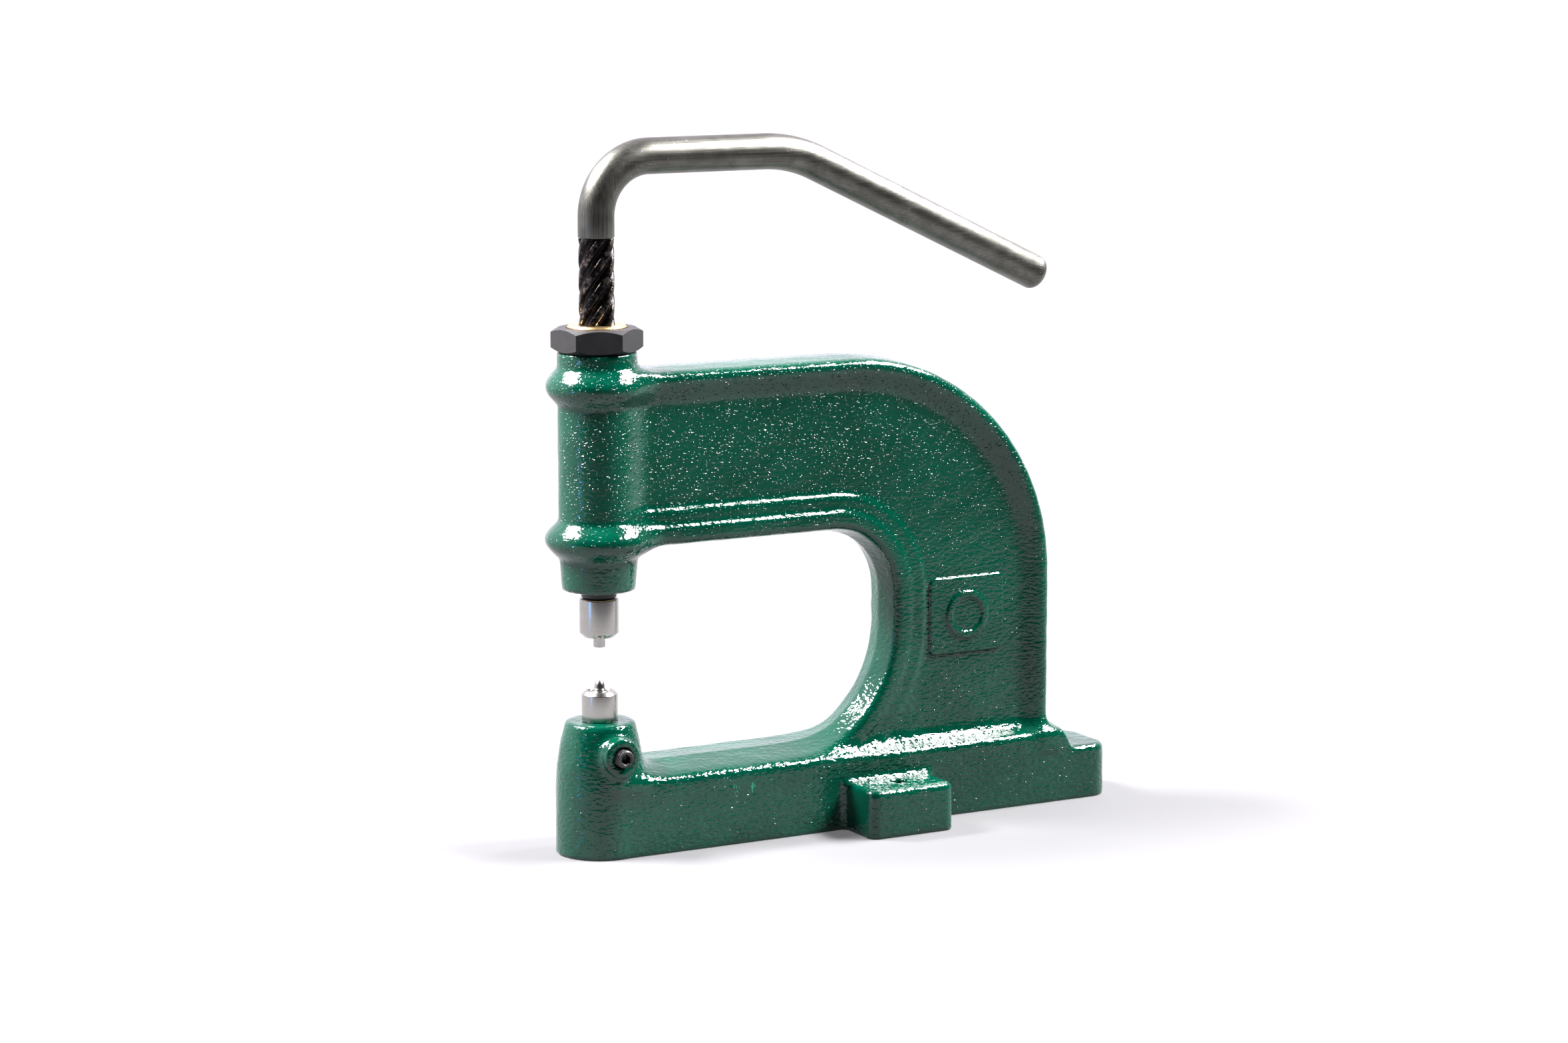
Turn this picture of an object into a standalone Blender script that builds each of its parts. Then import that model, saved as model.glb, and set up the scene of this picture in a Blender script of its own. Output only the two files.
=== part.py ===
"""Bench screw press for setting eyelets: a cast C-frame with a six-start spindle.

Origin: on the bench plane, under the spindle axis. +X runs from the spindle to the
back of the frame, +Z is up, and -Y is the side with the set screw and the pad.
"""

import math

import bmesh
import bpy
from mathutils import Matrix, Vector

MM = 0.001
GAP = 0.3 * MM                    # clearance between touching pieces
CUTTER_TURN_DEG = 3.7             # keeps a cutter's facets off those of the piece it cuts

# Spindle screw and handle
SPINDLE_R = 7.8 * MM              # over the thread crests
ROOT_R = 6.3 * MM
STARTS = 6
LEAD = 62 * MM                    # advance for one turn
RINGS_PER_TURN = 24
CREST_DEG = 26.0                  # angle of one crest land
ROOT_DEG = 14.0                   # angle of one groove floor
BAR_R = 8.0 * MM
BAR_BOTTOM_Z = 272.6 * MM
BAR_TOP_Z = 307.1 * MM            # centreline of the level run
BAR_BEND_R = 25.5 * MM
BAR_LEVEL_END_X = 83 * MM
BAR_DROP_BEND_R = 62 * MM
BAR_DROP_DEG = 25.2
BAR_END_X = 228.3 * MM
BAR_END_ROUND = 4.5 * MM
SPIGOT_LENGTH = 16 * MM

# Head of the casting
HEAD_TOP_Z = 223.2 * MM
HEAD_BOTTOM_Z = 118 * MM
HEAD_R = 17.5 * MM
UPPER_BEAD_Z, UPPER_BEAD_R = 208 * MM, 22.7 * MM
LOWER_BEAD_Z, LOWER_BEAD_R = 140.4 * MM, 23.6 * MM
BEAD_HALF_WIDTH = 8.5 * MM
BOSS_R = 16.1 * MM                # lower boss at its bottom edge
NUT_THREAD_R = 13.0 * MM
NUT_BOTTOM_Z = 190 * MM
CHAMBER_R = 12.2 * MM
CHAMBER_FLOOR_Z = 136 * MM
BUSH_R = 10.7 * MM

# Arm, column and throat, as side outlines
ARM_TOP_Z = 214.6 * MM
ARM_UNDER_Z = 134.6 * MM
COLUMN_BACK_X = 227 * MM
COLUMN_FRONT_X = 142.5 * MM
SHOULDER_R = 106 * MM
THROAT_TOP_R = 30 * MM
THROAT_LOW_R = 54 * MM
THROAT_DRAFT_DEG = 12.0
WEB_HALF = 10.8 * MM
RIM_HALF = 15.5 * MM
RIM_DEPTH = 11 * MM
INNER_RIM_HALF = 12.6 * MM
INNER_RIM_DEPTH = 14 * MM

# Base, lugs and post
BASE_HALF = 19.5 * MM
BASE_TOP_Z = 34 * MM
BASE_RIDGE_Z = 37 * MM            # parting line along the top
BASE_FAR_Z = (36.4 * MM, 38.2 * MM)  # top edge of the far half, front and back
BASE_END_X = 258.5 * MM
BASE_CORNER_R = 9 * MM
FOOT_STEP_X = 235 * MM
FOOT_TOP_Z = 25 * MM
LUG_X0, LUG_X1 = 114 * MM, 158 * MM
LUG_HALF = 43.5 * MM
LUG_TOP_Z = 22 * MM
BOLT_X, BOLT_Y, BOLT_R = 137 * MM, 28 * MM, 3.5 * MM
POST_TOP_Z = 59.3 * MM
POST_R = 19.8 * MM
SCREW_BOSS_Z, SCREW_BOSS_R, SCREW_BOSS_Y = 46.3 * MM, 8.3 * MM, 22.7 * MM
DIE_SHANK_R = 6.0 * MM
DIE_BORE_FLOOR_Z = 26 * MM
KEY_BOSS_Z, KEY_BOSS_R, KEY_BOSS_Y = 127 * MM, 7.5 * MM, 20.5 * MM

# Raised pad on the side of the column
PAD_X, PAD_Z = 183 * MM, 92 * MM
PAD_W, PAD_H, PAD_CORNER_R = 40 * MM, 36 * MM, 3 * MM
PAD_RAISE = 1.0 * MM
PAD_RING_R, PAD_RING_WIDTH = 11 * MM, 3 * MM

# Hexagon lock nut
HEX_FLATS = 35 * MM
HEX_HEIGHT = 10.5 * MM
HEX_TURN_DEG = 6.8
NUT_PROUD = 1.1 * MM

# Ram, dies and pilot
RAM_R = 7.8 * MM
RAM_HEAD_R = 11.8 * MM
RAM_BOTTOM_Z = 114.5 * MM
RAM_HEAD_Z = 177 * MM
RAM_TOP_Z = 189.4 * MM
NOSE_R, NOSE_GROOVE_R = 5.0 * MM, 3.4 * MM
NOSE_GROOVE_Z = 186.2 * MM
BALL_R = 3.0 * MM
BALL_Z = 180 * MM
PIN_R = 1.5 * MM
STUD_R = 4.0 * MM
UPPER_DIE_R = 8.65 * MM
LOWER_DIE_R = 8.0 * MM
PILOT_R = 2.9 * MM
PILOT_TIP_Z = 77.1 * MM
UPPER_DIE_FACE_Z = 96.9 * MM
LOWER_DIE_TOP_Z = 72.8 * MM
PILOT_COLLAR_Z = 59.9 * MM          # upper face of the collar
PILOT_COLLAR_HEIGHT = 3 * MM
PILOT_PLUG_TOP_Z = 37 * MM
SPRING_ROOM_R = 4.2 * MM
STUD_LENGTH = 16.5 * MM
RAM_TRAVEL = 23.25 * MM
PIN_X = NOSE_GROOVE_R + PIN_R + GAP
PIN_HALF_LENGTH = 9.4 * MM
BUSH_TOP_Z = CHAMBER_FLOOR_Z + 2 * MM

# Screws
SET_SCREW_R = 4.0 * MM
SET_SCREW_PROUD = 3.0 * MM
KEY_SCREW_R = 3.0 * MM
KEY_DOG_R = 2.0 * MM
KEY_DOG_TIP_Y = 6.1 * MM


# ---------------------------------------------------------------- helpers

def material(name, colour, roughness, metallic):
    """A Principled material."""
    made = bpy.data.materials.new(name)
    made.use_nodes = True
    shader = made.node_tree.nodes["Principled BSDF"]
    shader.inputs["Base Color"].default_value = (*colour, 1)
    shader.inputs["Roughness"].default_value = roughness
    shader.inputs["Metallic"].default_value = metallic
    return made


def finish(name, bm, mat, parent=None, smooth_deg=40):
    """Turn a bmesh into a named object with outward faces."""
    bmesh.ops.remove_doubles(bm, verts=bm.verts, dist=1e-7)
    bmesh.ops.recalc_face_normals(bm, faces=bm.faces)
    mesh = bpy.data.meshes.new(name)
    bm.to_mesh(mesh)
    bm.free()
    mesh.shade_smooth()
    mesh.set_sharp_from_angle(angle=math.radians(smooth_deg))
    if mat:
        mesh.materials.append(mat)
    made = bpy.data.objects.new(name, mesh)
    bpy.context.collection.objects.link(made)
    if parent:
        made.parent = parent
        made.matrix_parent_inverse = Matrix.Translation(-parent.location)
    return made


def turned(profile, steps=28, start_deg=0.0):
    """Solid of revolution about Z: profile is a list of (radius, z) points.

    A profile whose ends lie on the axis makes a solid piece; otherwise it is a
    closed loop and makes a ring.
    """
    bm = bmesh.new()
    verts = [bm.verts.new((r, 0, z)) for r, z in profile]
    pairs = list(zip(verts, verts[1:]))
    if profile[0][0] > 0:
        pairs.append((verts[-1], verts[0]))
    edges = [bm.edges.new(pair) for pair in pairs]
    bmesh.ops.rotate(bm, verts=verts, matrix=Matrix.Rotation(math.radians(start_deg), 3, "Z"))
    bmesh.ops.spin(bm, geom=verts + edges, cent=(0, 0, 0), axis=(0, 0, 1),
                   angle=math.tau, steps=steps, use_merge=True)
    bmesh.ops.remove_doubles(bm, verts=bm.verts, dist=1e-7)
    return bm


def rod(r, z0, z1, chamfer=0.0):
    """Profile of a plain cylinder with an optional chamfer at each end."""
    if chamfer:
        return [(0, z0), (r - chamfer, z0), (r, z0 + chamfer),
                (r, z1 - chamfer), (r - chamfer, z1), (0, z1)]
    return [(0, z0), (r, z0), (r, z1), (0, z1)]


def drill(r, z0, z1, steps=16):
    """Round cutter whose facets are turned off those of the piece that it cuts."""
    return turned(rod(r, z0, z1), steps, start_deg=CUTTER_TURN_DEG)


def lofted(rings, split=False):
    """Closed solid through rings of points with equal counts, flat at both ends.

    With split, each side face is two triangles that share the diagonal from the next
    point of the lower ring: the short one where the rings turn like a right-hand screw.
    """
    bm = bmesh.new()
    loops = [[bm.verts.new(p) for p in ring] for ring in rings]
    count = len(loops[0])
    for low, high in zip(loops, loops[1:]):
        for i in range(count):
            j = (i + 1) % count
            if split:
                bm.faces.new((low[i], low[j], high[i]))
                bm.faces.new((low[j], high[j], high[i]))
            else:
                bm.faces.new((low[i], low[j], high[j], high[i]))
    bm.faces.new(loops[0])
    bm.faces.new(loops[-1])
    return bm


def arc(cx, cz, r, start_deg, end_deg, steps):
    """Points on a circular arc, both ends included."""
    angles = [math.radians(start_deg + (end_deg - start_deg) * i / steps) for i in range(steps + 1)]
    return [(cx + r * math.cos(a), cz + r * math.sin(a)) for a in angles]


def rounded_rectangle(x0, x1, y0, y1, r, steps=3):
    """Corner arcs of a rectangle, counter-clockwise."""
    return (arc(x1 - r, y1 - r, r, 0, 90, steps) + arc(x0 + r, y1 - r, r, 90, 180, steps)
            + arc(x0 + r, y0 + r, r, 180, 270, steps) + arc(x1 - r, y0 + r, r, 270, 360, steps))


def side_solid(outline_at, stations):
    """Solid through side outlines (x, z) given by outline_at(y) at the y stations."""
    return lofted([[(x, y, z) for x, z in outline_at(y)] for y in stations])


def tool(name, bm):
    """A helper solid for a Boolean, left out of the finished model."""
    made = finish(name, bm, None)
    made.hide_render = True
    made.display_type = "WIRE"
    return made


def combine(target, helper, operation):
    """Exact Boolean of target with one helper solid."""
    boolean = target.modifiers.new(helper.name, "BOOLEAN")
    boolean.operation = operation
    boolean.solver = "EXACT"
    boolean.object = helper


def along_y(bm, x, z, side=-1):
    """Turn a solid made along +Z so that it runs along -Y at (x, z), or along +Y with side 1."""
    turn = Matrix.Translation((x, 0, z)) @ Matrix.Rotation(math.radians(-90 * side), 4, "X")
    bmesh.ops.transform(bm, matrix=turn, verts=bm.verts)
    return bm


# ---------------------------------------------------------------- casting

def bead(centre, r):
    """Half-round bead standing out of the head, from low z to high z."""
    points = []
    for i in range(7):
        t = -1 + i / 3
        rise = (r - HEAD_R) * math.cos(t * math.pi / 2) ** 1.5 if abs(t) < 1 else 0
        points.append((HEAD_R + rise, centre + t * BEAD_HALF_WIDTH))
    return points


def head_solid():
    low_bead = bead(LOWER_BEAD_Z, LOWER_BEAD_R)
    low_bead[0] = (BOSS_R + 1.2 * MM, low_bead[0][1])
    edge = 0.8 * MM
    bottom = [(0, HEAD_BOTTOM_Z), (BOSS_R - edge, HEAD_BOTTOM_Z), (BOSS_R, HEAD_BOTTOM_Z + edge)]
    top = [(HEAD_R, HEAD_TOP_Z - edge), (HEAD_R - edge, HEAD_TOP_Z), (0, HEAD_TOP_Z)]
    return turned(bottom + low_bead + bead(UPPER_BEAD_Z, UPPER_BEAD_R) + top, 32)


def head_bore():
    """Cutter for the bush's seat, the spring chamber and the nut's thread, from the bottom up."""
    bush, nut = BUSH_R + GAP, NUT_THREAD_R + GAP
    return turned([(0, HEAD_BOTTOM_Z - MM), (bush, HEAD_BOTTOM_Z - MM), (bush, CHAMBER_FLOOR_Z),
                   (CHAMBER_R, CHAMBER_FLOOR_Z), (CHAMBER_R, NUT_BOTTOM_Z - 2 * MM),
                   (nut, NUT_BOTTOM_Z - 1.5 * MM), (nut, HEAD_TOP_Z + MM), (0, HEAD_TOP_Z + MM)],
                  32, start_deg=CUTTER_TURN_DEG)


def outer_line(inset, start_x, foot_z):
    """Arm top, round shoulder and column back, moved inwards by inset."""
    cx, cz = COLUMN_BACK_X - SHOULDER_R, ARM_TOP_Z - SHOULDER_R
    return ([(start_x, ARM_TOP_Z - inset)] + arc(cx, cz, SHOULDER_R - inset, 90, 0, 12)
            + [(COLUMN_BACK_X - inset, foot_z)])


def throat_line(inset, start_x, foot_z):
    """Arm underside, throat corners and column front, moved into the metal by inset."""
    top = arc(COLUMN_FRONT_X - THROAT_TOP_R, ARM_UNDER_Z - THROAT_TOP_R, THROAT_TOP_R + inset, 90, 0, 7)
    low_z = BASE_RIDGE_Z - 0.5 * MM + THROAT_LOW_R
    low = arc(COLUMN_FRONT_X - THROAT_LOW_R, low_z, THROAT_LOW_R + inset, 0, -90, 8)
    return [(start_x, ARM_UNDER_Z + inset)] + top + low[:-1] + [(low[-1][0] - inset, foot_z)]


def throat_draft(y):
    """How far the throat's faces lean back at y, away from the parting plane."""
    return abs(y) * math.tan(math.radians(THROAT_DRAFT_DEG))


def web_solid():
    """The wall of arm and column between the rims."""
    def outline(y):
        return outer_line(5 * MM, 3 * MM, 28 * MM) + throat_line(throat_draft(y), 3 * MM, 28 * MM)[::-1]
    return side_solid(outline, [-WEB_HALF, 0, WEB_HALF])


def outer_rim_solid():
    def outline(y):
        side = abs(y) / RIM_HALF
        depth = RIM_DEPTH + (4 * MM if side < 0.99 else 0)
        return outer_line(0.9 * MM * side, 2 * MM, 29 * MM) + outer_line(depth, 2 * MM, 29 * MM)[::-1]
    return side_solid(outline, [-RIM_HALF, -WEB_HALF + MM, 0, WEB_HALF - MM, RIM_HALF])


def inner_rim_solid():
    def outline(y):
        edge = abs(y) > WEB_HALF
        draft = throat_draft(y) - (0.9 * MM if edge else 0.4 * MM)
        depth = INNER_RIM_DEPTH + (0 if edge else 3 * MM)
        return throat_line(draft, 4 * MM, 30 * MM) + throat_line(depth, 4 * MM, 30 * MM)[::-1]
    return side_solid(outline, [-INNER_RIM_HALF, -WEB_HALF + MM, 0, WEB_HALF - MM, INNER_RIM_HALF])


def base_solid():
    """Base bar with rounded rear corners and a rounded top edge."""
    def ring(inset, z):
        r = BASE_CORNER_R - inset
        x1, half = BASE_END_X - inset, BASE_HALF - inset
        points = arc(x1 - r, -half + r, r, -90, 0, 4) + arc(x1 - r, half - r, r, 0, 90, 4)
        return [(0, -half, z)] + [(x, y, z) for x, y in points] + [(0, half, z)]
    return lofted([ring(0, 0), ring(0, BASE_TOP_Z - 3 * MM), ring(0.9 * MM, BASE_TOP_Z - 0.9 * MM),
                   ring(3 * MM, BASE_TOP_Z)])


def crown_solid():
    """Top of the base: it slopes up to the parting line, and is nearly level beyond it."""
    half, low = BASE_HALF - 3.6 * MM, BASE_TOP_Z - MM
    rings = []
    for x, far_z in ((3 * MM, BASE_FAR_Z[0]), (FOOT_STEP_X + 2 * MM, BASE_FAR_Z[1])):
        section = [(-half, low), (half, low), (half, far_z), (0, BASE_RIDGE_Z),
                   (-half, low + 0.8 * MM)]
        rings.append([(x, y, z) for y, z in section])
    return lofted(rings)


def foot_step():
    """Cutter that steps the base down to the rear foot."""
    x, z = FOOT_STEP_X, FOOT_TOP_Z
    low = arc(x + 3 * MM, z + 3 * MM, 3 * MM, 180, 270, 4)
    high = arc(x - 3 * MM, BASE_TOP_Z - 2 * MM, 3 * MM, 0, 70, 4)[::-1]
    past, over = BASE_END_X + 5 * MM, 60 * MM
    outline = high + low + [(past, z), (past, over), (high[0][0], over)]
    return side_solid(lambda y: outline, [-30 * MM, 30 * MM])


def lug_solid():
    def ring(inset, z):
        points = rounded_rectangle(LUG_X0 + inset, LUG_X1 - inset, -LUG_HALF + inset, LUG_HALF - inset,
                                   5 * MM - inset)
        return [(x, y, z) for x, y in points]
    return lofted([ring(0, 0), ring(0, LUG_TOP_Z - 2.5 * MM), ring(0.7 * MM, LUG_TOP_Z - 0.7 * MM),
                   ring(2.5 * MM, LUG_TOP_Z)])


def post_solid():
    top = POST_TOP_Z
    return turned([(0, 0), (POST_R, 0), (POST_R, 30 * MM), (19.2 * MM, 40 * MM), (17.6 * MM, 50 * MM),
                   (15.9 * MM, top - 2.5 * MM), (14.6 * MM, top), (0, top)], 32, start_deg=5)


def side_boss(r, length):
    edge = 0.9 * MM
    return turned([(0, 0), (r, 0), (r, length - edge), (r - edge, length), (0, length)], 20, start_deg=1.3)


def pad_solid():
    """Rounded square pad on the near side of the column's wall."""
    def ring(inset, y):
        points = rounded_rectangle(PAD_X - PAD_W / 2 + inset, PAD_X + PAD_W / 2 - inset,
                                   PAD_Z - PAD_H / 2 + inset, PAD_Z + PAD_H / 2 - inset,
                                   PAD_CORNER_R - inset)
        return [(x, y, z) for x, z in points]
    face = -WEB_HALF - PAD_RAISE
    return lofted([ring(0, -WEB_HALF + MM), ring(0, face + 0.4 * MM), ring(0.4 * MM, face)])


def pad_ring_solid():
    """Plain raised ring on the pad."""
    face = WEB_HALF + PAD_RAISE
    low, high, draft = face - 0.5 * MM, face + 0.7 * MM, 0.3 * MM
    inner = PAD_RING_R - PAD_RING_WIDTH
    bm = turned([(inner, low), (PAD_RING_R, low), (PAD_RING_R - draft, high), (inner + draft, high)], 24)
    return along_y(bm, PAD_X, PAD_Z)


def frame_casting(enamel):
    casting = finish("frame_casting", base_solid(), enamel, smooth_deg=35)
    steps = [
        ("crown", crown_solid(), "UNION"),
        ("foot_step", foot_step(), "DIFFERENCE"),
        ("lugs", lug_solid(), "UNION"),
        ("post", post_solid(), "UNION"),
        ("set_screw_boss", along_y(side_boss(SCREW_BOSS_R, SCREW_BOSS_Y), 0, SCREW_BOSS_Z), "UNION"),
        ("web", web_solid(), "UNION"),
        ("outer_rim", outer_rim_solid(), "UNION"),
        ("inner_rim", inner_rim_solid(), "UNION"),
        ("pad", pad_solid(), "UNION"),
        ("pad_ring", pad_ring_solid(), "UNION"),
        ("head", head_solid(), "UNION"),
        ("key_screw_boss", along_y(side_boss(KEY_BOSS_R, KEY_BOSS_Y), 0, KEY_BOSS_Z, 1), "UNION"),
        ("head_bore", head_bore(), "DIFFERENCE"),
        ("die_bore", drill(DIE_SHANK_R + GAP, DIE_BORE_FLOOR_Z, POST_TOP_Z + MM, 24),
         "DIFFERENCE"),
        ("set_screw_hole", along_y(drill(SET_SCREW_R + GAP, DIE_SHANK_R - MM, SCREW_BOSS_Y + MM),
                                   0, SCREW_BOSS_Z), "DIFFERENCE"),
        ("key_screw_hole", along_y(drill(KEY_SCREW_R + GAP, RAM_R, KEY_BOSS_Y + MM), 0, KEY_BOSS_Z, 1),
         "DIFFERENCE"),
    ]
    for side in (-1, 1):
        hole = drill(BOLT_R, -MM, LUG_TOP_Z + MM, 20)
        bmesh.ops.translate(hole, verts=hole.verts, vec=(BOLT_X, side * BOLT_Y, 0))
        steps.append((f"bolt_hole_{side}", hole, "DIFFERENCE"))
    for name, bm, operation in steps:
        combine(casting, tool(name, bm), operation)
    return casting


# ---------------------------------------------------------------- spindle and nuts

def thread_section(crest_r, root_r, crest_deg, root_deg):
    """Angles and radii of the six-start section: a crest land and a groove floor for each start."""
    pitch = 360 / STARTS
    points = []
    for start in range(STARTS):
        middle = start * pitch
        for angle, r in ((middle - crest_deg / 2, crest_r), (middle, crest_r),
                         (middle + crest_deg / 2, crest_r),
                         (middle + pitch / 2 - root_deg / 2, root_r),
                         (middle + pitch / 2 + root_deg / 2, root_r)):
            points.append((math.radians(angle), r))
    return points


def twisted_rings(section, z0, z1):
    """Rings of the section along a right-hand helix of the spindle's lead, from z0 to z1.

    The rings between the ends lie at the same heights in every piece, so that the
    facets of screw and nut follow each other.
    """
    step = LEAD / RINGS_PER_TURN
    first, last = math.floor(z0 / step) + 1, math.ceil(z1 / step) - 1
    rings = []
    for z in [z0] + [i * step for i in range(first, last + 1)] + [z1]:
        twist = math.tau * z / LEAD
        rings.append([(r * math.cos(a + twist), r * math.sin(a + twist), z) for a, r in section])
    return rings


def spindle_screw(mat, axis):
    """Six-start screw with a grooved nose below and a spigot for the handle above."""
    low, high = RAM_TOP_Z + GAP, BAR_BOTTOM_Z - GAP
    section = thread_section(SPINDLE_R, ROOT_R, CREST_DEG, ROOT_DEG)
    thread = lofted(twisted_rings(section, low, high), split=True)
    screw = finish("spindle_screw", thread, mat, axis, smooth_deg=30)
    nose_bottom = BALL_Z + BALL_R + 0.2 * MM
    core = turned([(0, nose_bottom), (NOSE_R - 0.5 * MM, nose_bottom), (NOSE_R, nose_bottom + 0.5 * MM),
                   (NOSE_R, NOSE_GROOVE_Z - PIN_R - GAP), (NOSE_GROOVE_R, NOSE_GROOVE_Z - PIN_R - GAP),
                   (NOSE_GROOVE_R, NOSE_GROOVE_Z + PIN_R + GAP), (NOSE_R, NOSE_GROOVE_Z + PIN_R + GAP),
                   (NOSE_R, high + SPIGOT_LENGTH - 0.5 * MM), (NOSE_R - 0.5 * MM, high + SPIGOT_LENGTH),
                   (0, high + SPIGOT_LENGTH)], 24)
    combine(screw, tool("spindle_core", core), "UNION")
    return screw


def spindle_nut(mat):
    """Bronze nut: plain outside, chamfered top edge, six-start thread inside."""
    top = HEAD_TOP_Z + HEX_HEIGHT + NUT_PROUD
    bottom = NUT_BOTTOM_Z
    edge = 0.8 * MM
    nut = finish("spindle_nut", turned(rod(NUT_THREAD_R, bottom, top, edge)), mat)
    extra_deg = math.degrees(GAP / SPINDLE_R)
    section = thread_section(SPINDLE_R + GAP, ROOT_R + GAP, CREST_DEG + 2.4 * extra_deg,
                             ROOT_DEG - 2.4 * extra_deg)
    thread = lofted(twisted_rings(section, bottom - MM, top + MM), split=True)
    combine(nut, tool("nut_thread", thread), "DIFFERENCE")
    return nut


def hex_lock_nut(mat):
    """Thin hexagon nut, chamfered on both faces."""
    corner = HEX_FLATS / 2 / math.cos(math.radians(30))
    z0, z1 = HEAD_TOP_Z + 0.05 * MM, HEAD_TOP_Z + HEX_HEIGHT
    bm = bmesh.new()
    bmesh.ops.create_cone(bm, cap_ends=True, segments=6, radius1=corner, radius2=corner, depth=z1 - z0)
    place = (Matrix.Translation((0, 0, (z0 + z1) / 2))
             @ Matrix.Rotation(math.radians(HEX_TURN_DEG), 4, "Z"))
    bmesh.ops.transform(bm, matrix=place, verts=bm.verts)
    nut = finish("hex_lock_nut", bm, mat, smooth_deg=20)
    face_r = HEX_FLATS / 2 - 0.5 * MM
    drop = (corner + MM - face_r) * math.tan(math.radians(30))
    cone = turned([(0, z0), (face_r, z0), (corner + MM, z0 + drop), (corner + MM, z1 - drop),
                   (face_r, z1), (0, z1)], 36)
    combine(nut, tool("hex_chamfer", cone), "INTERSECT")
    combine(nut, tool("hex_bore", drill(NUT_THREAD_R + GAP, z0 - MM, z1 + MM, 32)), "DIFFERENCE")
    return nut


# ---------------------------------------------------------------- handle

def bar_stations():
    """Centre, direction angle and radius of the bar's rings, from the bottom to the end."""
    edge = 0.4 * MM
    stations = [(0, BAR_BOTTOM_Z, 90, BAR_R - edge), (0, BAR_BOTTOM_Z + edge, 90, BAR_R)]
    bend_z = BAR_TOP_Z - BAR_BEND_R
    for i, (x, z) in enumerate(arc(BAR_BEND_R, bend_z, BAR_BEND_R, 180, 90, 8)):
        stations.append((x, z, 90 - 90 * i / 8, BAR_R))
    drop = arc(BAR_LEVEL_END_X, BAR_TOP_Z - BAR_DROP_BEND_R, BAR_DROP_BEND_R, 90, 90 - BAR_DROP_DEG, 4)
    for i, (x, z) in enumerate(drop):
        stations.append((x, z, -BAR_DROP_DEG * i / 4, BAR_R))
    slope = math.radians(BAR_DROP_DEG)
    x0, z0 = drop[-1]
    length = (BAR_END_X - x0) / math.cos(slope)
    for i in range(4):
        turn = math.radians(30 * i)
        along = length - BAR_END_ROUND * (1 - math.sin(turn))
        stations.append((x0 + along * math.cos(slope), z0 - along * math.sin(slope), -BAR_DROP_DEG,
                         BAR_R - BAR_END_ROUND * (1 - math.cos(turn))))
    return stations


def handle_bar(mat, axis):
    """Round bar: upright, bent over level, then bent down to a rounded end."""
    rings = []
    for x, z, angle, r in bar_stations():
        nx, nz = -math.sin(math.radians(angle)), math.cos(math.radians(angle))
        ring = []
        for i in range(20):
            t = math.tau * i / 20
            ring.append((x + r * math.cos(t) * nx, r * math.sin(t), z + r * math.cos(t) * nz))
        rings.append(ring)
    bar = finish("handle_bar", lofted(rings), mat, axis)
    socket = drill(NOSE_R + GAP, BAR_BOTTOM_Z - MM, BAR_BOTTOM_Z + SPIGOT_LENGTH, 20)
    combine(bar, tool("bar_socket", socket), "DIFFERENCE")
    return bar


# ---------------------------------------------------------------- ram and its guide

def ram(mat, axis):
    """Keyed ram: threaded hole for the die below, head with the spindle's seat above."""
    seat_z = BALL_Z + BALL_R - 0.2 * MM
    edge = 0.5 * MM
    piece = finish("ram", turned([
        (0, RAM_BOTTOM_Z + STUD_LENGTH + GAP), (STUD_R + GAP, RAM_BOTTOM_Z + STUD_LENGTH + GAP),
        (STUD_R + GAP, RAM_BOTTOM_Z), (RAM_R - edge, RAM_BOTTOM_Z), (RAM_R, RAM_BOTTOM_Z + edge),
        (RAM_R, RAM_HEAD_Z), (RAM_HEAD_R, RAM_HEAD_Z), (RAM_HEAD_R, RAM_TOP_Z - edge),
        (RAM_HEAD_R - edge, RAM_TOP_Z), (NOSE_R + GAP, RAM_TOP_Z), (NOSE_R + GAP, seat_z),
        (BALL_R + GAP, seat_z), (BALL_R + GAP, BALL_Z - BALL_R - GAP), (0, BALL_Z - BALL_R - GAP)]),
        mat, axis)
    for side in (-1, 1):
        hole = drill(PIN_R + GAP, -RAM_HEAD_R - MM, RAM_HEAD_R + MM, 12)
        hole = along_y(hole, side * PIN_X, NOSE_GROOVE_Z)
        combine(piece, tool(f"pin_hole_{side}", hole), "DIFFERENCE")
    half = KEY_DOG_R + GAP
    y0, y1 = KEY_DOG_TIP_Y - GAP, RAM_R + MM
    z0, z1 = KEY_BOSS_Z - half - 0.5 * MM, KEY_BOSS_Z + RAM_TRAVEL + half + 0.5 * MM
    keyway = lofted([[(-half, y0, z), (half, y0, z), (half, y1, z), (-half, y1, z)] for z in (z0, z1)])
    combine(piece, tool("keyway", keyway), "DIFFERENCE")
    return piece


def guide_bush(mat):
    """Flanged bronze bush, let into the lower boss from above."""
    flange_z = CHAMBER_FLOOR_Z + GAP
    bore = RAM_R + GAP
    bottom = HEAD_BOTTOM_Z + GAP
    bush = finish("guide_bush", turned([
        (bore, bottom), (BUSH_R, bottom), (BUSH_R, flange_z), (RAM_HEAD_R, flange_z),
        (RAM_HEAD_R, BUSH_TOP_Z), (bore, BUSH_TOP_Z)]), mat)
    hole = along_y(drill(KEY_SCREW_R + GAP, RAM_R - 2 * MM, BUSH_R + 2 * MM), 0, KEY_BOSS_Z, 1)
    combine(bush, tool("bush_hole", hole), "DIFFERENCE")
    return bush


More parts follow.
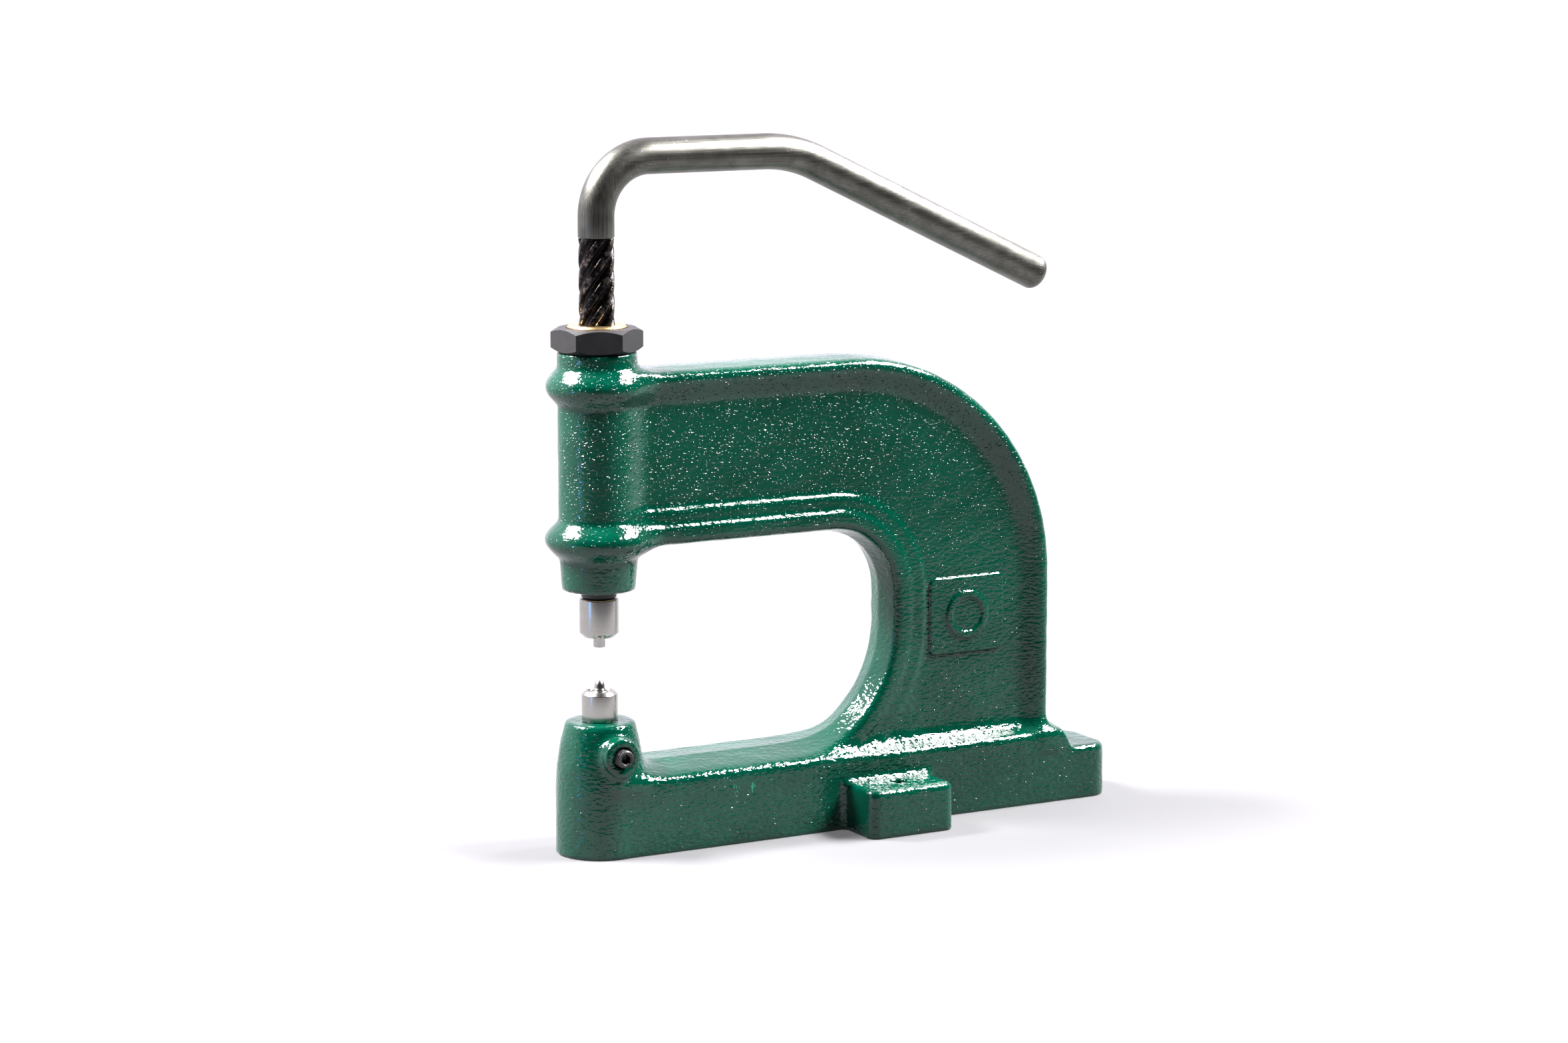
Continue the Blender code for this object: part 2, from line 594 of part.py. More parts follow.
def coil_spring(name, mat, coil_r, wire_r, z0, z1, turns, sides=5, per_turn=14):
    """Compression spring with closed end coils."""
    steps = int(turns * per_turn)
    low, high = z0 + wire_r, z1 - wire_r
    end = 2.3 * wire_r                       # rise of each closed end coil
    rings = []
    for i in range(steps + 1):
        turn = turns * i / steps
        inner = (turn - 1) / (turns - 2)
        if turn < 1:
            z = low + end * turn
        elif turn > turns - 1:
            z = high - end * (turns - turn)
        else:
            z = low + end + (high - low - 2 * end) * inner
        a = math.tau * turn
        out = Vector((math.cos(a), math.sin(a), 0))
        centre = out * coil_r + Vector((0, 0, z))
        rings.append([centre + wire_r * (math.cos(math.tau * k / sides) * out
                                         + math.sin(math.tau * k / sides) * Vector((0, 0, 1)))
                      for k in range(sides)])
    return finish(name, lofted(rings), mat)


def thrust_ball(mat, axis):
    bm = bmesh.new()
    bmesh.ops.create_uvsphere(bm, u_segments=16, v_segments=10, radius=BALL_R,
                              matrix=Matrix.Translation((0, 0, BALL_Z)))
    return finish("thrust_ball", bm, mat, axis)


def retaining_pin(name, mat, axis, side):
    """Cross pin in the ram head, beside the spindle's groove."""
    pin = turned(rod(PIN_R, -PIN_HALF_LENGTH, PIN_HALF_LENGTH, 0.3 * MM), 12)
    return finish(name, along_y(pin, side * PIN_X, NOSE_GROOVE_Z), mat, axis)


def hexagon_socket(flats, depth, outer):
    """Cutter for a hexagon socket from z = outer - depth to just past z = outer."""
    bm = bmesh.new()
    r = flats / 2 / math.cos(math.radians(30))
    bmesh.ops.create_cone(bm, cap_ends=True, segments=6, radius1=r, radius2=r, depth=depth + MM,
                          matrix=Matrix.Translation((0, 0, outer - (depth - MM) / 2)))
    return bm


def die_set_screw(mat):
    """Socket set screw through the post's side boss on to the lower die's shank."""
    tip, end = DIE_SHANK_R + GAP, SCREW_BOSS_Y + SET_SCREW_PROUD
    screw = finish("die_set_screw", along_y(turned([
        (0, tip), (SET_SCREW_R - 1.5 * MM, tip), (SET_SCREW_R, tip + 1.5 * MM),
        (SET_SCREW_R, end - 0.6 * MM), (SET_SCREW_R - 0.6 * MM, end), (0, end)], 20),
        0, SCREW_BOSS_Z), mat)
    combine(screw, tool("set_screw_socket", along_y(hexagon_socket(4 * MM, 4 * MM, end), 0, SCREW_BOSS_Z)),
            "DIFFERENCE")
    return screw


def ram_key_screw(mat):
    """Dog-point screw whose tip runs in the ram's keyway."""
    tip, end = KEY_DOG_TIP_Y, KEY_BOSS_Y + 5.5 * MM
    screw = finish("ram_key_screw", along_y(turned([
        (0, tip), (KEY_DOG_R, tip), (KEY_DOG_R, RAM_R + MM), (KEY_SCREW_R, RAM_R + 2 * MM),
        (KEY_SCREW_R, end - 0.5 * MM), (KEY_SCREW_R - 0.5 * MM, end), (0, end)], 16),
        0, KEY_BOSS_Z, 1), mat)
    combine(screw, tool("key_screw_socket", along_y(hexagon_socket(3 * MM, 3 * MM, end), 0, KEY_BOSS_Z, 1)),
            "DIFFERENCE")
    return screw


def key_screw_lock_nut(mat):
    """Thin hexagon nut on the key screw, against the boss."""
    z0, z1 = KEY_BOSS_Y + GAP, KEY_BOSS_Y + GAP + 3.2 * MM
    bm = bmesh.new()
    corner = 5 * MM / math.cos(math.radians(30))
    bmesh.ops.create_cone(bm, cap_ends=True, segments=6, radius1=corner, radius2=corner, depth=z1 - z0,
                          matrix=Matrix.Translation((0, 0, (z0 + z1) / 2)))
    nut = finish("key_screw_lock_nut", along_y(bm, 0, KEY_BOSS_Z, 1), mat, smooth_deg=20)
    bore = drill(KEY_SCREW_R + GAP, z0 - MM, z1 + MM)
    combine(nut, tool("lock_nut_bore", along_y(bore, 0, KEY_BOSS_Z, 1)), "DIFFERENCE")
    return nut


# ---------------------------------------------------------------- dies

def upper_die(mat, axis):
    """Die with a centre pin and a shallow curling ring, on a threaded stud."""
    top = RAM_BOTTOM_Z - GAP
    face = UPPER_DIE_FACE_Z
    stud_end = RAM_BOTTOM_Z + STUD_LENGTH
    pin_r, pin_end = 2.65 * MM, face - 4.7 * MM
    r = UPPER_DIE_R
    return finish("upper_die", turned([
        (0, pin_end), (pin_r - 0.3 * MM, pin_end), (pin_r, pin_end + 0.3 * MM), (pin_r, face + 0.9 * MM),
        (5.0 * MM, face + 0.9 * MM), (5.8 * MM, face), (6.6 * MM, face), (r, face + 2 * MM),
        (r, top - 0.4 * MM), (r - 0.4 * MM, top), (STUD_R, top), (STUD_R, stud_end - 0.5 * MM),
        (STUD_R - 0.5 * MM, stud_end), (0, stud_end)]), mat, axis)


def lower_die(mat):
    """Die with a curling groove round the pilot's hole, on a plain shank."""
    base, top = POST_TOP_Z + GAP, LOWER_DIE_TOP_Z
    bottom = DIE_BORE_FLOOR_Z + 3.5 * MM
    r = LOWER_DIE_R
    return finish("lower_die", turned([
        (SPRING_ROOM_R, bottom), (DIE_SHANK_R - 0.5 * MM, bottom), (DIE_SHANK_R, bottom + 0.5 * MM),
        (DIE_SHANK_R, base), (r, base), (r, top - 1.6 * MM), (r - 1.6 * MM, top), (5.7 * MM, top),
        (5.2 * MM, top - MM), (4.1 * MM, top - MM), (3.7 * MM, top), (PILOT_R + GAP, top),
        (PILOT_R + GAP, PILOT_COLLAR_Z + GAP), (SPRING_ROOM_R, PILOT_COLLAR_Z + GAP)]), mat)


def lower_die_pilot(mat, axis):
    """Bullet-nosed pin with a collar that stops it under the die's face."""
    tip = PILOT_TIP_Z
    collar = PILOT_COLLAR_Z
    return finish("lower_die_pilot", turned([
        (0, collar - 8 * MM), (2 * MM, collar - 8 * MM), (2 * MM, collar - PILOT_COLLAR_HEIGHT),
        (SPRING_ROOM_R - GAP, collar - PILOT_COLLAR_HEIGHT), (SPRING_ROOM_R - GAP, collar),
        (PILOT_R, collar), (PILOT_R, tip - 4 * MM), (2.4 * MM, tip - 3.2 * MM),
        (2.2 * MM, tip - 1.6 * MM), (1.5 * MM, tip - 0.2 * MM), (1.2 * MM, tip), (0, tip)], 24), mat, axis)


def pilot_plug(mat):
    """Screwed plug with a driver slot, under the pilot's spring."""
    bottom, top = DIE_BORE_FLOOR_Z + 4.5 * MM, PILOT_PLUG_TOP_Z
    plug = finish("pilot_plug", turned(rod(SPRING_ROOM_R - GAP, bottom, top, 0.4 * MM), 20), mat)
    half, far = 0.6 * MM, SPRING_ROOM_R + MM
    slot = lofted([[(-far, -half, z), (far, -half, z), (far, half, z), (-far, half, z)]
                   for z in (bottom - MM, bottom + 1.2 * MM)])
    combine(plug, tool("plug_slot", slot), "DIFFERENCE")
    return plug


# ---------------------------------------------------------------- whole press

def joint_axis(name, z):
    """Empty on a joint's axis, which carries the pieces that move with it."""
    empty = bpy.data.objects.new(name, None)
    empty.location = (0, 0, z)
    bpy.context.collection.objects.link(empty)
    return empty


def build():
    for old in list(bpy.data.objects):
        bpy.data.objects.remove(old)

    enamel = material("green_enamel", (0.004, 0.11, 0.065), 0.18, 0.0)
    black_oxide = material("black_oxide", (0.025, 0.024, 0.026), 0.45, 0.9)
    oiled_black = material("oiled_black", (0.012, 0.012, 0.013), 0.15, 0.9)
    bar_steel = material("dark_bar_steel", (0.11, 0.12, 0.115), 0.36, 1.0)
    die_steel = material("bright_steel", (0.62, 0.60, 0.58), 0.28, 1.0)
    bronze = material("bronze", (0.83, 0.58, 0.28), 0.25, 1.0)
    spring_steel = material("spring_steel", (0.30, 0.30, 0.31), 0.35, 1.0)

    ram_axis = joint_axis("ram_axis", RAM_TOP_Z)
    spindle_axis = joint_axis("spindle_axis", HEAD_TOP_Z)
    spindle_axis.parent = ram_axis
    spindle_axis.matrix_parent_inverse = Matrix.Translation(-ram_axis.location)
    pilot_axis = joint_axis("pilot_axis", LOWER_DIE_TOP_Z)

    frame_casting(enamel)
    spindle_nut(bronze)
    hex_lock_nut(black_oxide)
    guide_bush(bronze)
    ram_key_screw(black_oxide)
    key_screw_lock_nut(black_oxide)
    coil_spring("return_spring", spring_steel, 10 * MM, 0.9 * MM, BUSH_TOP_Z + GAP, RAM_HEAD_Z - GAP, 7.5)
    ram(black_oxide, ram_axis)
    retaining_pin("retaining_pin_front", spring_steel, ram_axis, -1)
    retaining_pin("retaining_pin_rear", spring_steel, ram_axis, 1)
    thrust_ball(die_steel, ram_axis)
    upper_die(die_steel, ram_axis)
    spindle_screw(oiled_black, spindle_axis)
    handle_bar(bar_steel, spindle_axis)
    lower_die(die_steel)
    lower_die_pilot(die_steel, pilot_axis)
    coil_spring("pilot_spring", spring_steel, 3.2 * MM, 0.4 * MM, PILOT_PLUG_TOP_Z + GAP,
                PILOT_COLLAR_Z - PILOT_COLLAR_HEIGHT - GAP, 8, sides=4, per_turn=10)
    pilot_plug(black_oxide)
    die_set_screw(black_oxide)


build()
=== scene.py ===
"""Bench screw press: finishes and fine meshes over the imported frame, in metres."""

import math

import bmesh
import bpy
import numpy as np
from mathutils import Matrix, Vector


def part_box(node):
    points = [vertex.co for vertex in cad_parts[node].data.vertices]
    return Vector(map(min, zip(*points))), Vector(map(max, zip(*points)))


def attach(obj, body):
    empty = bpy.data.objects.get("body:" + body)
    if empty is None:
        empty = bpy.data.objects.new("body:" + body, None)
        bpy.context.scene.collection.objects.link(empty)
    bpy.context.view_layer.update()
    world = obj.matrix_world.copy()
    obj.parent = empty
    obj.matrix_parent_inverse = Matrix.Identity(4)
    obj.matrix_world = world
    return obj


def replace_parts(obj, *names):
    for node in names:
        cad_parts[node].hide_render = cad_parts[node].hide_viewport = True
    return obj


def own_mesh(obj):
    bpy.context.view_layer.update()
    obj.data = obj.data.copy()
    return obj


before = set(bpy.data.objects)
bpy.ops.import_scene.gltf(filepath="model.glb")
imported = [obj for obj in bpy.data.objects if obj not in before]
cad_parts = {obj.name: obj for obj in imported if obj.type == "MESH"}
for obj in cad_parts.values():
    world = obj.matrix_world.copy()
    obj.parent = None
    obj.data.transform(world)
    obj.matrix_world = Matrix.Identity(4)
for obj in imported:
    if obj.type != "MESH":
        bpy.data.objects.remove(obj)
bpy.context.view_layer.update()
MM = 0.001

# ---------------------------------------------------------------- camera and stage
# A long lens a little above the work, from the front left, and two softboxes. What the
# press reflects is bright behind it and dark in front. The camera itself sees a pale
# backdrop all round, through the Light Path nodes below.

camera_data = bpy.data.cameras.new("camera")
camera_data.sensor_width = 36.0
camera_data.lens = 90.1
camera = bpy.data.objects.new("camera", camera_data)
camera.location = (-0.7565, -1.5200, 0.4258)
camera.rotation_euler = Vector((0.4815, 0.8614, -0.1616)).to_track_quat("-Z", "Y").to_euler()
bpy.context.collection.objects.link(camera)
bpy.context.scene.camera = camera
bpy.context.scene.view_settings.view_transform = "Standard"


class Wire:
    """A shader socket. Arithmetic on it adds Math nodes to its node tree."""

    def __init__(self, tree, socket=None):
        self.tree, self.socket = tree, socket

    def node(self, kind, settings=None, sockets=None, out=0):
        """Adds a node of this kind, sets it up, joins its sockets and gives one output."""
        made = self.tree.nodes.new("ShaderNode" + kind)
        for name, value in (settings or {}).items():
            if name == "stops":
                ramp = made.color_ramp
                while len(ramp.elements) < len(value):
                    ramp.elements.new(0.5)
                for stop, (position, colour) in zip(ramp.elements, value):
                    stop.position, stop.color = position, (*colour, 1)
            else:
                setattr(made, name, value)
        for name, value in (sockets or {}).items():
            if isinstance(value, Wire):
                value.to(made.inputs[name])
            else:
                made.inputs[name].default_value = value
        return Wire(self.tree, made.outputs[out])

    def to(self, socket):
        self.tree.links.new(self.socket, socket)

    def maths(self, operation, other=0.0):
        return self.node("Math", {"operation": operation}, {0: self, 1: other})

    def __add__(self, other):
        return self.maths("ADD", other)

    def __sub__(self, other):
        return self.maths("SUBTRACT", other)

    def __rsub__(self, other):
        return self.node("Math", {"operation": "SUBTRACT"}, {0: other, 1: self})

    def __mul__(self, other):
        return self.maths("MULTIPLY", other)

    __radd__ = __add__
    __rmul__ = __mul__

    def above(self, edge, width):
        """0 below edge, 1 once past edge + width, with a soft start and end."""
        return self.node("MapRange", {"interpolation_type": "SMOOTHSTEP"},
                         {"Value": self, "From Min": edge, "From Max": edge + width})

    def mixed(self, low, high):
        """A colour from low to high as this goes from 0 to 1."""
        colours = {6: (*low, 1) if isinstance(low, tuple) else low,
                   7: (*high, 1) if isinstance(high, tuple) else high}
        return self.node("Mix", {"data_type": "RGBA"}, {0: self, **colours}, out=2)

    def parts(self):
        """The x, y and z of a vector."""
        split = self.node("SeparateXYZ", None, {0: self})
        outputs = split.socket.node.outputs
        return [Wire(self.tree, outputs[axis]) for axis in range(3)]

    def times(self, x, y, z):
        return self.node("VectorMath", {"operation": "MULTIPLY"}, {0: self, 1: (x, y, z)})

    def noise(self, scale, detail=2.0, roughness=0.5):
        """Noise from 0 to 1 at these coordinates."""
        return self.node("TexNoise", None, {"Vector": self, "Scale": scale, "Detail": detail,
                                            "Roughness": roughness})

    def bumped(self, shader, strength=1.0):
        """Uses this height, in millimetres, as the shader's relief."""
        bump = self.node("Bump", None, {"Height": self, "Distance": MM, "Strength": strength})
        bump.to(shader.inputs["Normal"])


def new_finish(name, colour, roughness, metallic=0.0):
    """A Principled material. Returns it, its shader, and the piece's own coordinates in mm."""
    made = bpy.data.materials.new(name)
    made.use_nodes = True
    shader = made.node_tree.nodes["Principled BSDF"]
    shader.inputs["Base Color"].default_value = (*colour, 1)
    shader.inputs["Roughness"].default_value = roughness
    shader.inputs["Metallic"].default_value = metallic
    place = Wire(made.node_tree).node("TexCoord", out="Object").times(1000, 1000, 1000)
    return made, shader, place


def add_piece(name, mesh, finish, sharp_deg=30):
    """A smooth-shaded object from a mesh, with sharp edges past that angle."""
    mesh.shade_smooth()
    mesh.set_sharp_from_angle(angle=math.radians(sharp_deg))
    mesh.materials.clear()
    mesh.materials.append(finish)
    piece = bpy.data.objects.new(name, mesh)
    bpy.context.collection.objects.link(piece)
    return piece


def softbox(name, place, width, height, watts, colour=(1, 1, 1)):
    """A rectangular lamp at this place, aimed at the middle of the press."""
    data = bpy.data.lights.new(name, "AREA")
    data.shape = "RECTANGLE"
    data.size, data.size_y, data.energy, data.color = width, height, watts, colour
    data.spread = math.radians(LAMP_SPREAD_DEG)
    lamp = bpy.data.objects.new(name, data)
    lamp.location = place
    lamp.rotation_euler = (PRESS_MIDDLE - Vector(place)).to_track_quat("-Z", "Y").to_euler()
    lamp.visible_camera = False
    bpy.context.collection.objects.link(lamp)


PRESS_MIDDLE, LAMP_SPREAD_DEG = Vector((0.08, 0.0, 0.14)), 80
softbox("right_softbox", (1.05, -0.33, 1.23), 1.10, 0.44, 33)
softbox("left_softbox", (-0.72, 0.46, 1.20), 0.75, 0.50, 28)
softbox("blue_strip", (-0.79, -0.13, 0.034), 0.03, 0.06, 0.045, (0.06, 0.35, 1.0))

world = bpy.data.worlds.new("studio")
world.use_nodes = True
bpy.context.scene.world = world
sky = Wire(world.node_tree)
towards = sky.node("TexCoord", out="Generated").parts()
behind = towards[1].above(-0.30, 0.8)
reflected = behind.mixed((0.012, 0.012, 0.015), (1.45, 1.36, 1.54))
seen = sky.node("LightPath", out="Is Camera Ray").mixed(reflected, (1.02, 1.01, 1.03))
backdrop = world.node_tree.nodes["Background"]
seen.to(backdrop.inputs["Color"])

# The paper isn't one tone. Near the press it is a grey that the lamps show as white. From
# 0.33 to 0.66 m in front it darkens to near black: a painted dark room, so that the near faces
# show a painted reflection of shade. A painted glow of emission lifts all the paper, the far
# paper most, and lifts the dark part only where the camera looks at it.
paper, paper_shader, place = new_finish("table_paper", (0.62, 0.61, 0.63), 0.75)
x, y, _ = place.parts()
# Painted dark room: the paper's colour goes near black in front, for the press to reflect as shade.
painted_dark_room = (-1 * y).above(330, 330)
painted_dark_room.mixed((0.118, 0.116, 0.121), (0.03, 0.03, 0.032)).to(paper_shader.inputs["Base Color"])
# Painted glow: emission that lights the paper up, strongest far from the press, though it is no lamp.
painted_far_glow = (x * x + y * y).maths("SQRT").above(260, 900)
looked_at = place.node("LightPath", out="Is Camera Ray")
painted_far_glow = painted_far_glow * (1 - painted_dark_room + painted_dark_room * looked_at)
painted_far_glow.mixed((0.14, 0.14, 0.145), (0.95, 0.95, 0.96)).to(paper_shader.inputs["Emission Color"])
paper_shader.inputs["Emission Strength"].default_value = 1.0
paper_shader.inputs["Specular IOR Level"].default_value = 0.15
FLOOR_HALF_SIZE = 8.0
bm = bmesh.new()
bmesh.ops.create_grid(bm, x_segments=1, y_segments=1, size=FLOOR_HALF_SIZE)
floor_mesh = bpy.data.meshes.new("floor")
bm.to_mesh(floor_mesh)
bm.free()
add_piece("floor", floor_mesh, paper)

# ---------------------------------------------------------------- frame casting
# One grey-iron sand casting: base, die post, drafted C-shaped web with rims, and the
# spindle's head, with generous fillets. Enamelled gloss green over the rough skin.

GRID = 1.25                       # mm between the mesh's points


def rounded_max(a, b, k):
    """Inside both a and b, with their meeting edge rounded over about k mm."""
    h = np.maximum(k - np.abs(a - b), 0) / k
    return np.maximum(a, b) + h * h * k / 4


def joined(a, b, k):
    """a and b in one, with a fillet of about k mm where they meet."""
    return -rounded_max(-a, -b, k)


def ease(t):
    """0 up to t = 0, 1 from t = 1, with a soft start and end."""
    t = np.clip(t, 0, 1)
    return t * t * (3 - 2 * t)


def plan_corner(qx, qy, r):
    """Distance from a corner of radius r, from the distances to its two sides."""
    qx, qy = qx + r, qy + r
    return np.hypot(np.maximum(qx, 0), np.maximum(qy, 0)) + np.minimum(np.maximum(qx, qy), 0) - r


BASE_END, BASE_HALF_WIDTH, BASE_CORNER = 258.5, 19.5, 10.0
FAR_TOP, NEAR_TOP = 37.2, 36.6    # of the base, on each side of its parting line
TAIL_START, TAIL_TOP = 238.5, 25.0


def base_form(x, y, z):
    """The long base: its top slopes both ways from the parting line, and steps down behind."""
    plan = np.maximum(plan_corner(x - BASE_END, np.abs(y) - BASE_HALF_WIDTH, BASE_CORNER), -x)
    far_top = FAR_TOP + (0.5 + 1.4 * x / 237) * np.clip(y / 16, 0, 1)
    near_top = NEAR_TOP + 2.5 * np.clip(y / 16.5, -1.3, 0)
    top = near_top + (far_top - near_top) * ease(y / 1.1 + 0.5)
    top = TAIL_TOP + (top - TAIL_TOP) * ease((TAIL_START - x) / 7)
    return rounded_max(plan, z - top, 3.4)


POST_TOP = 59.3
POST_LEVELS = (0, 30, 40, 50, 57, 60)
POST_RADII = (19.8, 19.8, 19.2, 17.6, 15.9, 15.0)
SET_SCREW_Z, SET_BOSS_R, SET_BOSS_FACE = 46.3, 8.4, 22.9


def post_form(x, y, z):
    """The round post under the lower die, with the set screw's boss on its near side."""
    r = np.interp(z, POST_LEVELS, POST_RADII)
    post = rounded_max(np.hypot(x, y) - r, z - POST_TOP, 1.6)
    boss = rounded_max(np.hypot(x, z - SET_SCREW_Z) - SET_BOSS_R, -y - SET_BOSS_FACE, 1.3)
    return joined(post, np.maximum(boss, y), 2.4)


BACK_X, ARM_TOP, OUTER_R = 227, 214.6, 106
THROAT_BACK_X, THROAT_MIDDLE_Z, THROAT_DRAFT_DEG = 142.5, 97, 12
THROAT_TOP, THROAT_UPPER_R = 134.6, 30
THROAT_FLOOR, THROAT_LOWER_R = 36.5, 54
PANEL_HALF_THICKNESS = 10.8


def web_form(x, y, z):
    """The C-shaped web: a thin panel between an outer rim and a stepped, drafted inner one."""
    across = np.abs(y)
    outside = plan_corner(x - BACK_X, z - ARM_TOP, OUTER_R)
    upper = plan_corner(x - THROAT_BACK_X, z - THROAT_TOP, THROAT_UPPER_R)
    lower = plan_corner(x - THROAT_BACK_X, THROAT_FLOOR - z, THROAT_LOWER_R)
    throat = np.where(z > THROAT_MIDDLE_Z, upper, lower)
    rim = -outside
    lip = throat - across * math.tan(math.radians(THROAT_DRAFT_DEG))
    on_arm = 0.45 + 0.55 * ease((150 - x) / 40)
    half = (PANEL_HALF_THICKNESS + 2.35 * (1 + np.cos(math.pi * np.clip((rim - 4) / 12.5, 0, 1)))
            + on_arm * (1.7 * ease((17.5 - lip) / 3.4) + 1.5 * ease((9.6 - lip) / 3.2)))
    web = rounded_max((across - half) * 0.93, outside + 0.058 * across, 4.2)
    web = rounded_max(web, -lip * 0.98, 3.0)
    return np.maximum(np.maximum(web, 3 - x), 29 - z)


HEAD_MIDDLE_Z, HEAD_HALF_HEIGHT = 170.6, 52.6
BEADS = ((208.0, 5.2), (140.4, 6.1))          # height of each bead, and how far it stands out
BEAD_HALF_HEIGHT = 8.8


def head_radius(z):
    r = np.interp(z, (118, 132, 150), (16.1, 17.3, 17.5))
    for middle, rise in BEADS:
        r = r + rise * np.maximum(1 - ((z - middle) / BEAD_HALF_HEIGHT) ** 2, 0) ** 1.45
    return r


def head_form(x, y, z):
    """The round head that guides the spindle and the ram, with a bead near each end."""
    r, step = head_radius(z), 0.2
    slope = (head_radius(z + step) - r) / step
    head = (np.hypot(x, y) - r) / np.sqrt(1 + slope * slope)
    return rounded_max(head, np.abs(z - HEAD_MIDDLE_Z) - HEAD_HALF_HEIGHT, 1.2)


def drilled(form, distance, r, edge=0.6):
    """The form with a hole of radius r, from the distances to its axis."""
    return rounded_max(form, r - distance, edge)


LUG_X, LUG_HALF_LENGTH, LUG_REACH, LUG_TOP = 136, 22, 43.5, 22
LUG_HOLE_X, LUG_HOLE_Y, LUG_HOLE_R = 137, 28, 3.5
KEY_SCREW_Z, KEY_BOSS_R, KEY_BOSS_FACE, KEY_HOLE_R = 127, 7.4, 20.5, 3.3
SHANK_R, SHANK_MIDDLE_Z, SHANK_HALF_DEPTH, SET_HOLE_R = 6.3, 45, 19, 4.3
# Unevenness of the cast skin: each wave's rates along x, y and z, and its height in mm.
WAVES = ((0.31, 0.42, 0.17, 0.03), (-0.23, 0.11, 0.52, 0.03), (0.61, -0.37, -0.43, 0.016),
         (0.13, 0.71, -0.62, 0.014), (-0.94, 0.22, 0.78, 0.01))
CLEAR = 50                        # mm, a distance at which no hole cuts


def casting_form(x, y, z):
    """Signed distance to the casting's skin in mm, below 0 in the metal."""
    across = np.abs(y)
    lug = plan_corner(np.abs(x - LUG_X) - LUG_HALF_LENGTH, across - LUG_REACH, 5.0)
    lug = rounded_max(lug, z - LUG_TOP, 3.2)
    foot = joined(base_form(x, y, z), lug, 3.6)
    post_fillet = 0.6 + 7.5 * ease((z - 24) / 10)
    form = joined(foot, post_form(x, y, z), post_fillet)
    key_boss = rounded_max(np.hypot(x, z - KEY_SCREW_Z) - KEY_BOSS_R, y - KEY_BOSS_FACE, 1.2)
    head = joined(head_form(x, y, z), np.maximum(key_boss, -y), 3.0)
    form = joined(form, joined(web_form(x, y, z), head, 6.5), 7.5)
    for wave_x, wave_y, wave_z, size in WAVES:
        form = form + size * np.sin(wave_x * x + wave_y * y + wave_z * z)
    form = rounded_max(form, np.abs(z - 111.6) - 111.6, 0.9)
    around = np.hypot(x, y)
    shank_end = np.abs(z - SHANK_MIDDLE_Z) - SHANK_HALF_DEPTH + SHANK_R
    form = drilled(form, np.maximum(around, shank_end), SHANK_R, 0.9)
    bore = np.where(z < 137, 11.0, np.where(z < 189, 12.2, 13.3))
    form = drilled(form, np.where(z > 100, around - bore, CLEAR), 0, 0.7)
    set_hole = np.hypot(x, z - SET_SCREW_Z) - 0.5 * ease((-y - 21) / 2)
    form = drilled(form, np.where(y < -3, set_hole, CLEAR), SET_HOLE_R)
    form = drilled(form, np.where(y > 6, np.hypot(x, z - KEY_SCREW_Z), CLEAR), KEY_HOLE_R)
    return drilled(form, np.hypot(x - LUG_HOLE_X, across - LUG_HOLE_Y), LUG_HOLE_R, 0.9)


def skin_of(form, low, high, grid):
    """Points and four-sided faces on a form's surface, one point to each grid cell it passes."""
    counts = [int(math.ceil((b - a) / grid)) + 1 for a, b in zip(low, high)]
    gx, gy, gz = (a + grid * np.arange(n) for a, n in zip(low, counts))
    field = np.concatenate([form(gx[i:i + 16, None, None], gy[None, :, None], gz[None, None, :])
                            for i in range(0, counts[0], 16)])
    inside = field < 0
    corners = [(i, j, k) for i in (0, 1) for j in (0, 1) for k in (0, 1)]
    nx, ny, nz = (n - 1 for n in counts)
    filled = sum(inside[i:nx + i, j:ny + j, k:nz + k].astype(np.int8) for i, j, k in corners)
    cells = np.argwhere((filled > 0) & (filled < 8))
    values = np.stack([field[tuple((cells + c).T)] for c in corners], 1)
    total, crossings = np.zeros((len(cells), 3)), np.zeros(len(cells))
    for a in range(8):
        for b in range(a + 1, 8):
            if sum(abs(p - q) for p, q in zip(corners[a], corners[b])) != 1:
                continue
            cut = (values[:, a] < 0) != (values[:, b] < 0)
            t = np.where(cut, values[:, a] / np.where(cut, values[:, a] - values[:, b], 1), 0)
            spot = np.array(corners[a]) + t[:, None] * (np.array(corners[b]) - corners[a])
            total += spot * cut[:, None]
            crossings += cut
    points = np.array(low) + grid * (cells + total / crossings[:, None])
    number = np.full((nx, ny, nz), -1, np.int32)
    number[tuple(cells.T)] = np.arange(len(cells))
    faces = []
    for axis in range(3):
        u, v = (axis + 1) % 3, (axis + 2) % 3
        first = np.moveaxis(inside, (axis, u, v), (0, 1, 2))
        edges = np.argwhere(first[:-1, 1:-1, 1:-1] != first[1:, 1:-1, 1:-1])
        grid_numbers = np.moveaxis(number, (axis, u, v), (0, 1, 2))
        i, j, k = edges.T
        quad = np.stack([grid_numbers[i, j + du, k + dv]
                         for du, dv in ((0, 0), (1, 0), (1, 1), (0, 1))], 1)
        outward = first[i, j + 1, k + 1]
        faces.append(np.where(outward[:, None], quad, quad[:, ::-1]))
    return points, np.concatenate(faces)


def relaxed(form, points, faces, rounds=3):
    """Evens the points out over the surface, and puts each of them exactly on it."""
    step = 0.05
    for turn in range(rounds):
        if turn:
            total, count = np.zeros_like(points), np.zeros(len(points))
            for a in range(4):
                for b in (faces[:, a - 1], faces[:, (a + 1) % 4]):
                    np.add.at(total, faces[:, a], points[b])
                    np.add.at(count, faces[:, a], 1)
            points = 0.5 * points + 0.5 * total / count[:, None]
        for _ in range(2):
            x, y, z = points.T
            here = form(x, y, z)
            slope = np.stack([form(x + step, y, z) - form(x - step, y, z),
                              form(x, y + step, z) - form(x, y - step, z),
                              form(x, y, z + step) - form(x, y, z - step)], 1) / (2 * step)
            move = here / np.maximum((slope * slope).sum(1), 0.25)
            points = points - np.clip(move, -0.6, 0.6)[:, None] * slope
    return points


